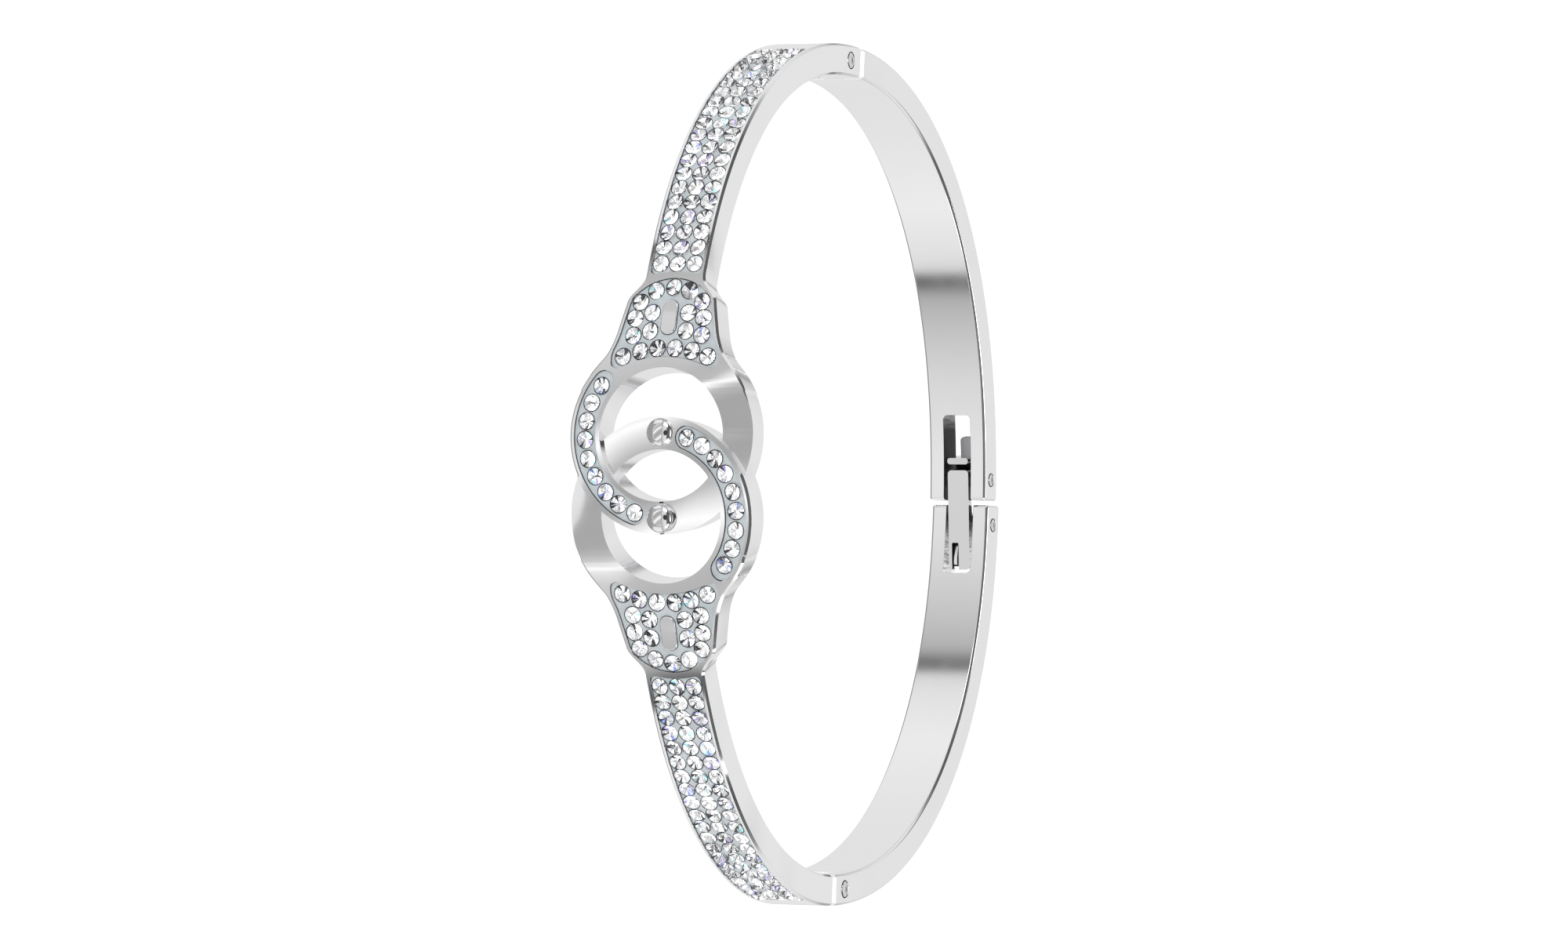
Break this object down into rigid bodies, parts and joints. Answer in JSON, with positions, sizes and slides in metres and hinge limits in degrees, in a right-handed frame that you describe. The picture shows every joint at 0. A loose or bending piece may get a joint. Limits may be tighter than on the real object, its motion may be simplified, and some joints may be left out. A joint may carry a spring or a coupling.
{
  "type": "bangle bracelet",
  "caption": "Oval hinged bangle: a stone-set front with linked rings between lock-shaped bodies, rear arms that swing open on side hinges, and a hooked link clasp.",
  "frame": {"origin": "middle of the bounding box in plan, on the plane through the lower edges of the rings", "axes": "+X across the wrist opening's long way, to the right as seen from the ornament's side; -Y towards the ornament, +Y towards the clasp; +Z along the wrist"},
  "size_m": [0.063, 0.0548, 0.0142],
  "materials": {
    "polished_steel": "mirror polished stainless steel",
    "pin_steel": "polished pin ends, flush with the band's sides",
    "spring_steel": "satin spring leaf",
    "setting_clay": "pale setting clay, smooth",
    "crystal": "clear faceted crystal"
  },
  "bodies": {
    "front": {"front_frame": "polished_steel", "hinge_left_pin": "pin_steel", "stud_left": "polished_steel", "stud_right": "polished_steel", "strip_left_clay": "setting_clay", "strip_right_clay": "setting_clay", "lock_left_clay": "setting_clay", "lock_right_clay": "setting_clay", "cuff_left_clay": "setting_clay", "cuff_right_clay": "setting_clay", "strip_left_crystals": "crystal", "strip_right_crystals": "crystal", "lock_left_crystals": "crystal", "lock_right_crystals": "crystal", "cuff_left_crystals": "crystal", "cuff_right_crystals": "crystal"},
    "arm_left": {"arm_left": "polished_steel", "catch_pin": "pin_steel"},
    "arm_right": {"arm_right": "polished_steel", "hinge_right_pin": "pin_steel", "link_pivot_pin": "pin_steel"},
    "clasp_link": {"clasp_link": "polished_steel", "link_spring": "spring_steel"}
  },
  "joints": [
    {"name": "arm_left_hinge", "type": "hinge", "parent": "front", "child": "arm_left", "pos_m": [-0.03033, 0.00008, 0.0071], "axis": [0, 0, 1], "range_deg": [0, 90]},
    {"name": "arm_right_hinge", "type": "hinge", "parent": "front", "child": "arm_right", "pos_m": [0.03036, -0.00062, 0.0071], "axis": [0, 0, -1], "range_deg": [0, 90]},
    {"name": "clasp_link_pivot", "type": "hinge", "parent": "arm_right", "child": "clasp_link", "pos_m": [0.00395, 0.02613, 0.0071], "axis": [0, 0, 1], "range_deg": [0, 60]}
  ]
}
